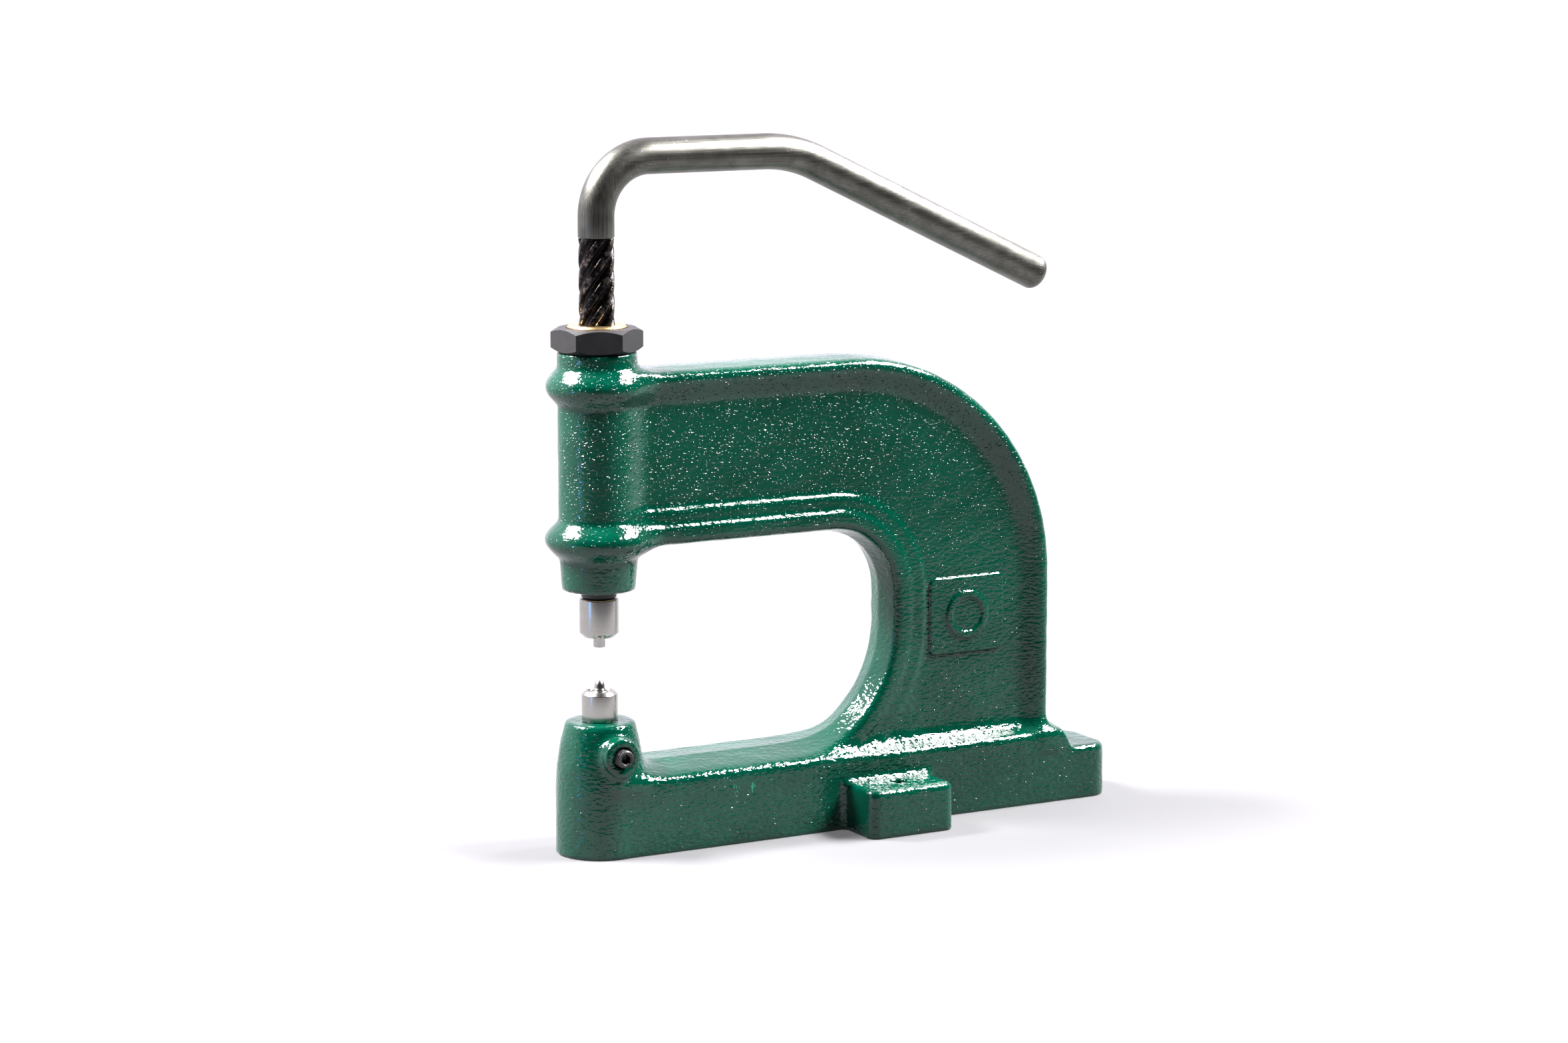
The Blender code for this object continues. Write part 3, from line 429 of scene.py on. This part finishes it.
def mesh_from(name, points, faces):
    """A mesh from arrays of points in metres and of four-sided faces."""
    mesh = bpy.data.meshes.new(name)
    mesh.vertices.add(len(points))
    mesh.vertices.foreach_set("co", points.astype(np.float32).ravel())
    mesh.loops.add(faces.size)
    mesh.loops.foreach_set("vertex_index", faces.astype(np.int32).ravel())
    mesh.polygons.add(len(faces))
    mesh.polygons.foreach_set("loop_start", np.arange(0, faces.size, 4, dtype=np.int32))
    mesh.update(calc_edges=True)
    mesh.validate()
    return mesh


# The grid starts and ends just outside the casting on every side.
points, faces = skin_of(casting_form, (-24.6, -45.1, -2.1), (260.9, 45.2, 225.4), GRID)
points = relaxed(casting_form, points, faces)
low, high = (np.array(corner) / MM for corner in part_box("frame_casting"))
points = np.clip(points, low, high)

# Orange peel all over, shallower higher up, where sand grains show through instead.
enamel, shader, place = new_finish("green_enamel", (0.001, 0.036, 0.022), 0.07)
x, y, z = place.parts()
grain = place.times(0.40, 0.40, 0.78).noise(1.0, 1.0, 0.5)
sparse = 0.745 + 0.09 * place.noise(0.10, 1.0) - 0.14 * z.above(95, 90)
pimple = (place.times(0.75, 0.75, 1.15).noise(1.05, 0.0) - sparse).maths("MAXIMUM")
height = (0.40 - 0.20 * z.above(90, 60)) * grain + 1.7 * pimple
height.bumped(shader)
cloud = place.noise(0.03, 3.0)
shade = cloud.above(0.35, 0.3).mixed((0.0001, 0.032, 0.0180), (0.0002, 0.044, 0.0248))
# Two small clusters of upright scratches on the base's near flank, down to fresher paint.
apart = ((x - 62).maths("ABSOLUTE") - 4).maths("ABSOLUTE")
scratch = (place.times(1.0, 1.0, 0.22).noise(2.2, 2.0, 0.6).above(0.57, 0.05)
           * (1 - apart.above(1.0, 1.2)) * (1 - (z - 25).maths("ABSOLUTE").above(1.2, 2.0))
           * (-1 * y).above(15, 2))
scratch.mixed(shade, (0.01, 0.30, 0.15)).to(shader.inputs["Base Color"])
(0.07 + 0.25 * scratch).to(shader.inputs["Roughness"])

casting = add_piece("casting", mesh_from("casting", points * MM, faces), enamel, 60)
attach(casting, "frame")
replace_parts(casting, "frame_casting")

# A maker's pad stands on the near side of the column, cast in one with it, with a soft
# edge. It holds a plain raised ring and nothing else.

PAD_MIDDLE_X, PAD_MIDDLE_Z, PAD_CELL = 183.0, 92.0, 0.4
PAD_HALF_WIDTH, PAD_HALF_HEIGHT, PAD_SOFTNESS = 20.0, 18.0, 1.6
RING_R, RING_HALF_WIDTH, RING_RISE = 9.5, 1.6, 0.85
across_pad = np.arange(-PAD_HALF_WIDTH - PAD_SOFTNESS, PAD_HALF_WIDTH + PAD_SOFTNESS + 0.01, PAD_CELL)
up_pad = np.arange(-PAD_HALF_HEIGHT - PAD_SOFTNESS, PAD_HALF_HEIGHT + PAD_SOFTNESS + 0.01, PAD_CELL)
gu, gv = np.meshgrid(across_pad, up_pad, indexing="ij")
to_edge = plan_corner(np.abs(gu) - PAD_HALF_WIDTH, np.abs(gv) - PAD_HALF_HEIGHT, 3.2)
rise = 1.75 * ease(0.5 - to_edge / 1.5) - 0.65
ring_gap = np.abs(np.hypot(gu, gv) - RING_R) - RING_HALF_WIDTH
rise = rise + RING_RISE * ease(0.5 - ring_gap / 1.1)
nu, nv = gu.shape
front = np.stack([PAD_MIDDLE_X + gu, -PANEL_HALF_THICKNESS - rise, PAD_MIDDLE_Z + gv], -1)
front = front.reshape(-1, 3)
back = front * (1, 0, 1) - (0, 9.6, 0)
index = np.arange(nu * nv).reshape(nu, nv)
sheet = np.stack([index[:-1, :-1], index[1:, :-1], index[1:, 1:], index[:-1, 1:]], -1)
sheet = sheet.reshape(-1, 4)
border = np.concatenate([index[:-1, 0], index[-1, :-1], index[:0:-1, -1], index[0, :0:-1]])
ahead = np.roll(border, -1)
wall = np.stack([ahead, border, border + nu * nv, ahead + nu * nv], -1)
pad_faces = np.concatenate([sheet, sheet[:, ::-1] + nu * nv, wall])
pad = add_piece("maker_pad", mesh_from("maker_pad", np.concatenate([front, back]) * MM, pad_faces),
                enamel, 60)
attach(pad, "frame")

# ---------------------------------------------------------------- spindle nut
# Bronze bush with the spindle's six-start thread inside, screwed into the top of the
# head. Turned bright, with a chamfer on its top edge.

STARTS, LEAD = 6, 62.0
HEAD_TOP, NUT_TOP = 223.2, 234.8
TURNS = np.arange(0, 360, 2.5)


def thread_radius(crest, root, crest_deg, root_deg):
    """Radius at each of TURNS: a land and a groove for every start, with eased corners."""
    pitch = 360 / STARTS
    from_crest = np.abs((TURNS + pitch / 2) % pitch - pitch / 2)
    flank = (pitch - crest_deg - root_deg) / 2
    r = root + (crest - root) * np.clip((crest_deg / 2 + flank - from_crest) / flank, 0, 1)
    return (np.roll(r, 1) + 2 * r + np.roll(r, -1)) / 4


def twisted_ring(radius, z):
    """A ring of the thread at height z, turned along its right-hand helix."""
    angle = np.radians(TURNS) + math.tau * z / LEAD
    return np.stack([radius * np.cos(angle), radius * np.sin(angle), np.full(angle.shape, z)], -1)


def lofted(name, rings, ends=True):
    """A mesh through rings of points in mm. Its ends are closed, or else meet each other."""
    rings = np.array(rings)
    count, around = rings.shape[:2]
    index = np.arange(count * around).reshape(count, around)
    after = np.roll(index, -1, 1)
    if ends:
        quads = np.stack([index[:-1], after[:-1], after[1:], index[1:]], -1)
    else:
        quads = np.stack([index, after, np.roll(after, -1, 0), np.roll(index, -1, 0)], -1)
    faces = quads.reshape(-1, 4).tolist()
    if ends:
        faces += [index[0][::-1].tolist(), index[-1].tolist()]
    bm = bmesh.new()
    verts = [bm.verts.new(p) for p in rings.reshape(-1, 3) * MM]
    for face in faces:
        bm.faces.new([verts[i] for i in face])
    bmesh.ops.remove_doubles(bm, verts=bm.verts, dist=1e-7)
    bmesh.ops.recalc_face_normals(bm, faces=bm.faces)
    mesh = bpy.data.meshes.new(name)
    bm.to_mesh(mesh)
    bm.free()
    return mesh


bronze, shader, place = new_finish("bronze", (0.83, 0.58, 0.28), 0.22, 1.0)
x, y, z = place.parts()
ring_marks = (x * x + y * y).maths("SQRT")
ring_marks = ring_marks.node("CombineXYZ", None, {0: ring_marks * 5.0, 1: z * 5.0}).noise(1.0, 2.0)
ring_marks.mixed((0.74, 0.49, 0.22), (0.90, 0.66, 0.34)).to(shader.inputs["Base Color"])
(0.18 + 0.16 * ring_marks).to(shader.inputs["Roughness"])
(0.02 * ring_marks).bumped(shader)

bore = thread_radius(8.1, 6.6, 28.0, 12.0)
NUT_FOOT, NUT_R = 190.0, 13.0
levels = np.linspace(NUT_FOOT, NUT_TOP, 60)
rings = [twisted_ring(bore, z) for z in levels]
rings += [twisted_ring(9.0, NUT_TOP)] + [twisted_ring(12.2, NUT_TOP)]
rings += [twisted_ring(NUT_R, z) for z in [NUT_TOP - 0.8, *levels[-3:3:-1]]]
rings += [twisted_ring(NUT_R, NUT_FOOT + 0.8), twisted_ring(12.2, NUT_FOOT)]
nut = add_piece("spindle_nut_fine", lofted("spindle_nut_fine", rings, ends=False), bronze)
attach(nut, "frame")
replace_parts(nut, "spindle_nut")

# ---------------------------------------------------------------- hexagon lock nut
# Thin steel nut that locks the bronze one against the head. Machined from hexagon bar,
# chamfered on both faces and blacked, with a dusty, slightly grainy skin.


def hexagon(flats, turn_deg=0.0, angles=TURNS):
    """Distance from the middle to a hexagon's sides, at each angle."""
    within = (angles - turn_deg) % 60 - 30
    return flats / 2 / np.cos(np.radians(within))


def round_ring(radius, z, angles=TURNS):
    """A level ring of points round the press's axis."""
    angle = np.radians(angles)
    return np.stack([radius * np.cos(angle), radius * np.sin(angle), np.full(angle.shape, z)], -1)


black, shader, place = new_finish("black_oxide", (0.016, 0.015, 0.016), 0.42)
dust = place.noise(2.6, 3.0, 0.7)
patch = place.noise(0.25, 3.0)
speck = dust.above(0.60, 0.12)
(0.55 * speck + 0.4 * patch).mixed((0.006, 0.005, 0.006), (0.035, 0.032, 0.034)).to(
    shader.inputs["Base Color"])
(0.33 + 0.16 * patch).to(shader.inputs["Roughness"])
(0.06 * dust).bumped(shader)

FLATS, FLAT_TURN = 35.0, 36.8
sides = hexagon(FLATS, FLAT_TURN, TURNS + FLAT_TURN)
face_r = FLATS / 2 - 0.5
drop = (sides - face_r) * math.tan(math.radians(30))
low_z, high_z = HEAD_TOP + 0.05, HEAD_TOP + 10.5
rings = [round_ring(r, z, TURNS + FLAT_TURN) for r, z in (
    (13.3, low_z), (face_r, low_z), (sides, low_z + drop), (sides, high_z - drop),
    (face_r, high_z), (13.8, high_z), (13.3, high_z - 0.5))]
hex_nut = add_piece("hex_lock_nut_fine", lofted("hex_lock_nut_fine", rings, ends=False), black, 20)
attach(hex_nut, "frame")
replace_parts(hex_nut, "hex_lock_nut")

# ---------------------------------------------------------------- spindle
# Steel six-start screw, blacked and oily: the grooved nose below sits in the ram, the
# spigot above goes into the handle. Its crests are worn a little brighter.

oiled, shader, place = new_finish("oiled_black", (0.012, 0.012, 0.013), 0.16, 0.9)
x, y, z = place.parts()
crest = (x * x + y * y).maths("SQRT").above(7.2, 0.5)
film = place.noise(0.5, 3.0, 0.6)
wear = crest * film.above(0.45, 0.25)
wear.mixed(film.above(0.5, 0.2).mixed((0.010, 0.009, 0.010), (0.045, 0.026, 0.016)),
           (0.16, 0.13, 0.11)).to(shader.inputs["Base Color"])
(0.12 + 0.16 * film).to(shader.inputs["Roughness"])
(0.10 * place.noise(1.5, 2.0)).bumped(shader)

flutes = thread_radius(7.8, 6.3, 26.0, 14.0)
THREAD_FOOT, THREAD_TOP = 189.7, 272.3
nose = ((4.5, 183.2), (5.0, 183.7), (5.0, 184.4), (3.4, 184.4), (3.4, 188.0), (5.0, 188.0),
        (5.0, THREAD_FOOT))
spigot = ((5.0, THREAD_TOP), (5.0, 287.8), (4.5, 288.3))
rings = [twisted_ring(r, z) for r, z in nose]
rings += [twisted_ring(flutes, z) for z in np.linspace(THREAD_FOOT, THREAD_TOP, 108)]
rings += [twisted_ring(r, z) for r, z in spigot]
screw = add_piece("spindle_fine", lofted("spindle_fine", rings), oiled, 35)
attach(screw, "spindle")
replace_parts(screw, "spindle_screw")

# ---------------------------------------------------------------- handle
# 16 mm round steel bar, bent cold in two places and rounded over at its end. It keeps
# the dark drawn skin, with faint streaks along its length.

BAR_R, BAR_FOOT, BAR_LEVEL = 8.0, 272.6, 307.1
FIRST_BEND, SECOND_BEND, SECOND_BEND_X, SLOPE = 25.5, 62.0, 83, 25.2
BAR_END_X, BAR_END_ROUND = 228.3, 4.5
SOCKET_R, SOCKET_TOP = 5.3, 288.6


def arc(cx, cz, r, start_deg, end_deg, steps):
    """Points on an arc, seen from the near side."""
    angles = np.radians(np.linspace(start_deg, end_deg, steps + 1))
    return list(zip(cx + r * np.cos(angles), cz + r * np.sin(angles)))


# Each station is its x, its z, the bar's slope there in degrees, and its radius.
stations = [(0, SOCKET_TOP, 90, 0.02), (0, SOCKET_TOP, 90, SOCKET_R), (0, BAR_FOOT, 90, SOCKET_R),
            (0, BAR_FOOT, 90, BAR_R - 0.5), (0, BAR_FOOT + 0.15, 90, BAR_R - 0.15),
            (0, BAR_FOOT + 0.5, 90, BAR_R)]
bend = arc(FIRST_BEND, BAR_LEVEL - FIRST_BEND, FIRST_BEND, 180, 90, 28)
stations += [(x, z, 90 - 90 * i / 28, BAR_R) for i, (x, z) in enumerate(bend)]
bend = arc(SECOND_BEND_X, BAR_LEVEL - SECOND_BEND, SECOND_BEND, 90, 90 - SLOPE, 14)
stations += [(x, z, -SLOPE * i / 14, BAR_R) for i, (x, z) in enumerate(bend)]
(bend_x, bend_z), slope = bend[-1], math.radians(SLOPE)
reach = (BAR_END_X - bend_x) / math.cos(slope)
for turn in np.radians(np.linspace(0, 90, 9)):
    along = reach - BAR_END_ROUND * (1 - math.sin(turn))
    stations.append((bend_x + along * math.cos(slope), bend_z - along * math.sin(slope), -SLOPE,
                     BAR_R - BAR_END_ROUND * (1 - math.cos(turn))))
around = np.radians(np.arange(0, 360, 5))
rings = []
for x, z, angle, r in stations:
    lift = r * np.cos(around)
    rings.append(np.stack([x - lift * math.sin(math.radians(angle)), r * np.sin(around),
                           z + lift * math.cos(math.radians(angle))], -1))

satin, shader, place = new_finish("dark_bar_steel", (0.12, 0.125, 0.12), 0.33, 1.0)
x = place.parts()[0]
level_streaks = place.times(0.03, 2.2, 2.2).noise(1.0, 3.0, 0.6)
upright_streaks = place.times(2.2, 2.2, 0.03).noise(1.0, 3.0, 0.6)
share = x.above(4, 14)
streaks = level_streaks * share + upright_streaks * (1 - share)
chips = place.noise(1.3, 2.0, 0.6).above(0.70, 0.04) * place.noise(0.06, 1.0).above(0.52, 0.1)
tone = (0.55 * streaks + 0.45 * place.noise(0.12, 3.0)).above(0.35, 0.35)
chips.mixed(tone.mixed((0.085, 0.083, 0.073), (0.165, 0.16, 0.145)), (0.62, 0.60, 0.56)).to(
    shader.inputs["Base Color"])
(0.27 + 0.20 * streaks).to(shader.inputs["Roughness"])
(0.03 * streaks + 0.02 * place.noise(1.8, 2.0)).bumped(shader)
bar = add_piece("handle_bar_fine", lofted("handle_bar_fine", rings), satin, 40)
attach(bar, "spindle")
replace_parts(bar, "handle_bar")

# ---------------------------------------------------------------- ram, its guide and its key
# A blacked steel ram slides in a bronze bush. A dog-point screw with a lock nut, on the
# far side, runs in its keyway. Two pins and a ball carry the spindle's nose in its head.

spring_wire, shader, place = new_finish("spring_steel", (0.30, 0.30, 0.31), 0.3, 1.0)
drawn = place.noise(0.8, 3.0)
drawn.mixed((0.22, 0.21, 0.21), (0.36, 0.36, 0.37)).to(shader.inputs["Base Color"])
(0.24 + 0.18 * drawn).to(shader.inputs["Roughness"])


def coil(name, coil_r, wire_r, low, high, turns):
    """A compression spring with closed end coils."""
    rings = []
    section = np.radians(np.arange(0, 360, 40))
    for turn in np.linspace(0, turns, int(turns * 28)):
        end = 2.3 * wire_r
        run = np.clip((turn - 1) / (turns - 2), 0, 1)
        rise = end * min(turn, 1) + end * max(turn - turns + 1, 0)
        z = low + wire_r + rise + (high - low - 2 * wire_r - 2 * end) * run
        r = coil_r + wire_r * np.cos(section)
        angle = math.tau * turn
        rings.append(np.stack([r * math.cos(angle), r * math.sin(angle),
                               z + wire_r * np.sin(section)], -1))
    spring = add_piece(name, lofted(name, rings), spring_wire, 60)
    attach(spring, "frame")
    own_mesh(spring)
    return spring


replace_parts(coil("return_spring_fine", 10.0, 0.9, 138.3, 176.7, 7.5),
            "return_spring")

bright, shader, place = new_finish("bright_steel", (0.62, 0.60, 0.58), 0.24, 1.0)
turned_marks = place.times(0.05, 0.05, 7.0).noise(1.0, 3.0, 0.6)
handled = place.noise(0.35, 3.0)
turned_marks.mixed((0.33, 0.32, 0.30), (0.47, 0.455, 0.435)).to(shader.inputs["Base Color"])
(0.12 + 0.14 * turned_marks + 0.08 * handled).to(shader.inputs["Roughness"])
(0.012 * turned_marks).bumped(shader)

for node, finish in (("ram", black), ("guide_bush", bronze), ("ram_key_screw", black),
                     ("key_screw_lock_nut", black), ("retaining_pin_front", spring_wire),
                     ("retaining_pin_rear", spring_wire), ("thrust_ball", bright),
                     ("pilot_plug", black)):
    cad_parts[node].data.materials.clear()
    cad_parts[node].data.materials.append(finish)

# ---------------------------------------------------------------- dies
# Turned and ground tool steel, left bright: the upper die screws into the ram, the lower
# one stands on a shank in the post and holds a sprung, polished pilot.


def softened(profile, r=0.22):
    """The profile with each inner corner rounded over about r mm."""
    points = [np.array(p, float) for p in profile]
    soft = [points[0]]
    for before, corner, after in zip(points, points[1:], points[2:]):
        cut_a = min(r, 0.45 * np.linalg.norm(before - corner))
        cut_b = min(r, 0.45 * np.linalg.norm(after - corner))
        a = corner + (before - corner) / np.linalg.norm(before - corner) * cut_a
        b = corner + (after - corner) / np.linalg.norm(after - corner) * cut_b
        for t in (0, 0.33, 0.67, 1):
            soft.append((1 - t) ** 2 * a + 2 * t * (1 - t) * corner + t * t * b)
    return soft + [points[-1]]


def turned_piece(node, profile, body, loop=False):
    """A bright turned piece that stands for this node of the frame."""
    name = node + "_fine"
    profile = softened(profile)
    rings = [round_ring(max(r, 0.01), z) for r, z in profile]
    piece = add_piece(name, lofted(name, rings, ends=not loop), bright, 40)
    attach(piece, body)
    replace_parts(piece, node)


turned_piece("upper_die", [
    (0, 92.2), (2.35, 92.2), (2.65, 92.5), (2.65, 97.8), (5.0, 97.8), (5.8, 96.9), (6.6, 96.9),
    (8.65, 98.9), (8.65, 113.8), (8.25, 114.2), (4.0, 114.2), (4.0, 130.5), (3.5, 131.0), (0, 131.0)],
    "ram")
turned_piece("lower_die", [
    (4.2, 29.5), (5.5, 29.5), (6.0, 30.0), (6.0, 59.6), (8.0, 59.6), (8.0, 71.2), (6.4, 72.8),
    (5.7, 72.8), (5.2, 71.8), (4.1, 71.8), (3.7, 72.8), (3.2, 72.8), (3.2, 60.2), (4.2, 60.2)],
    "frame", loop=True)
turned_piece("lower_die_pilot", [
    (0, 51.9), (2.0, 51.9), (2.0, 56.9), (3.9, 56.9), (3.9, 59.9), (2.9, 59.9), (2.9, 73.1),
    (2.4, 73.9), (2.2, 75.5), (1.5, 76.9), (0.9, 77.1), (0, 77.1)],
    "pilot")
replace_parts(coil("pilot_spring_fine", 3.2, 0.4, 37.3, 56.6, 8.0),
            "pilot_spring")

# ---------------------------------------------------------------- set screw of the lower die
# An M8 socket set screw, blacked, through the boss on the near side of the post. Its
# rolled thread and its hexagon socket show where it stands out.

SCREW_END, SCREW_TIP, PITCH = 25.7, 6.3, 1.25
THREAD_R, THREAD_DEPTH, SOCKET_FLATS = 4.0, 0.62, 4.0
angles = np.arange(0, 360, 7.5)


def set_screw_ring(radius, along):
    """A ring round the screw's axis, which runs along -Y."""
    angle = np.radians(angles)
    return np.stack([radius * np.cos(angle), np.full(angle.shape, -along),
                     SET_SCREW_Z + radius * np.sin(angle)], -1)


rings = [set_screw_ring(0.02, SCREW_TIP), set_screw_ring(2.5, SCREW_TIP),
         set_screw_ring(3.2, SCREW_TIP + 0.8)]
for along in np.arange(SCREW_TIP + 0.9, SCREW_END - 0.55, PITCH / 8):
    phase = (along / PITCH + angles / 360) % 1
    depth = THREAD_DEPTH * np.clip(1.35 - 2.7 * np.abs(phase - 0.5) / 0.5, 0, 1)
    rings.append(set_screw_ring(THREAD_R - depth, along))
socket = hexagon(SOCKET_FLATS, 20, angles)
rings += [set_screw_ring(3.75, SCREW_END - 0.4), set_screw_ring(3.4, SCREW_END),
          set_screw_ring(2.55, SCREW_END), set_screw_ring(socket, SCREW_END - 0.35),
          set_screw_ring(socket, SCREW_END - 4.0), set_screw_ring(0.02, SCREW_END - 4.8)]
set_screw = add_piece("die_set_screw_fine", lofted("die_set_screw_fine", rings), black, 35)
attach(set_screw, "frame")
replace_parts(set_screw, "die_set_screw")
